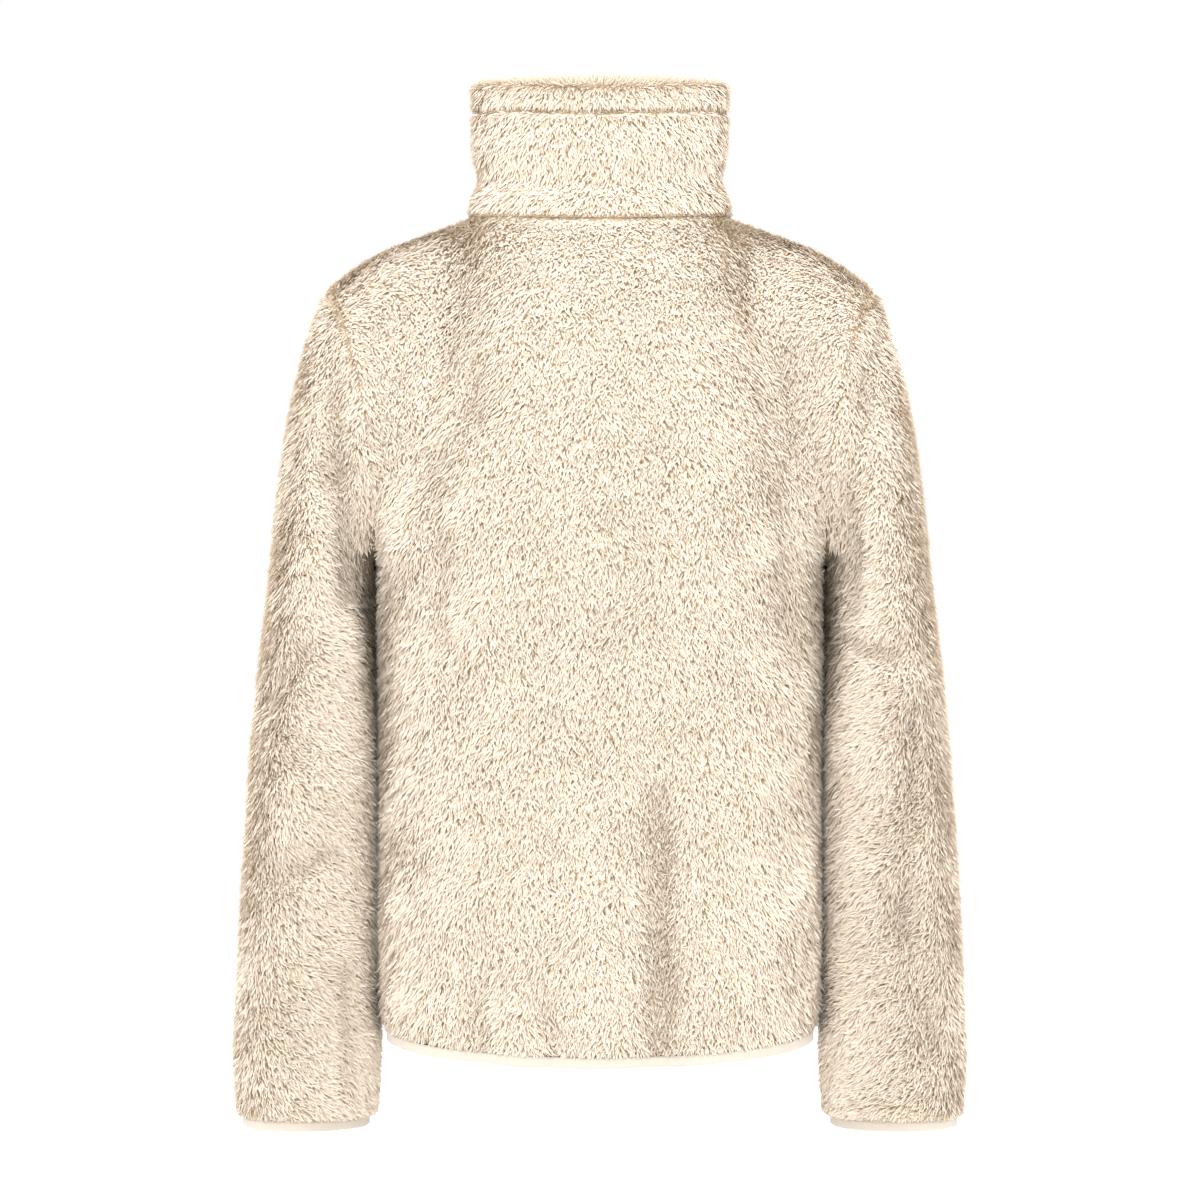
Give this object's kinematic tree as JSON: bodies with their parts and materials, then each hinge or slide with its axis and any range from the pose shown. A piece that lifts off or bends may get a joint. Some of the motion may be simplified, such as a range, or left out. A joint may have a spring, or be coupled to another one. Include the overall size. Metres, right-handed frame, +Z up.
{
  "type": "fleece jacket",
  "caption": "Filled-out fleece jacket with a high stand collar, set-in sleeves, a bound hem and cuffs, and a full-length front zip.",
  "frame": {"origin": "middle of the neck, level with the seam between collar and shoulders, where the wearer holds the jacket up", "axes": "+Z up, -Y the front, with the zip, and +X the wearer's left"},
  "size_m": [0.5568, 0.2764, 0.7862],
  "materials": {
    "pile": "long, combed, cream pile",
    "binding": "smooth, matt, knitted binding",
    "zip_tape": "woven tape",
    "zip_teeth": "moulded teeth",
    "zip_metal": "satin"
  },
  "bodies": {
    "jacket": {"back": "pile", "front_left": "pile", "front_right": "pile", "sleeve_left": "pile", "sleeve_right": "pile", "collar": "pile", "hem_binding": "binding", "cuff_binding_left": "binding", "cuff_binding_right": "binding", "zip_tape_left": "zip_tape", "zip_tape_right": "zip_tape", "zip_chain": "zip_teeth", "zip_slider": "zip_metal"},
    "pull_tab": {"zip_pull_tab": "zip_metal"}
  },
  "joints": [
    {"name": "pull_tab_hinge", "type": "hinge", "parent": "jacket", "child": "pull_tab", "pos_m": [0, -0.07625, 0.03069], "axis": [-1, 0, 0], "range_deg": [0, 150]}
  ]
}
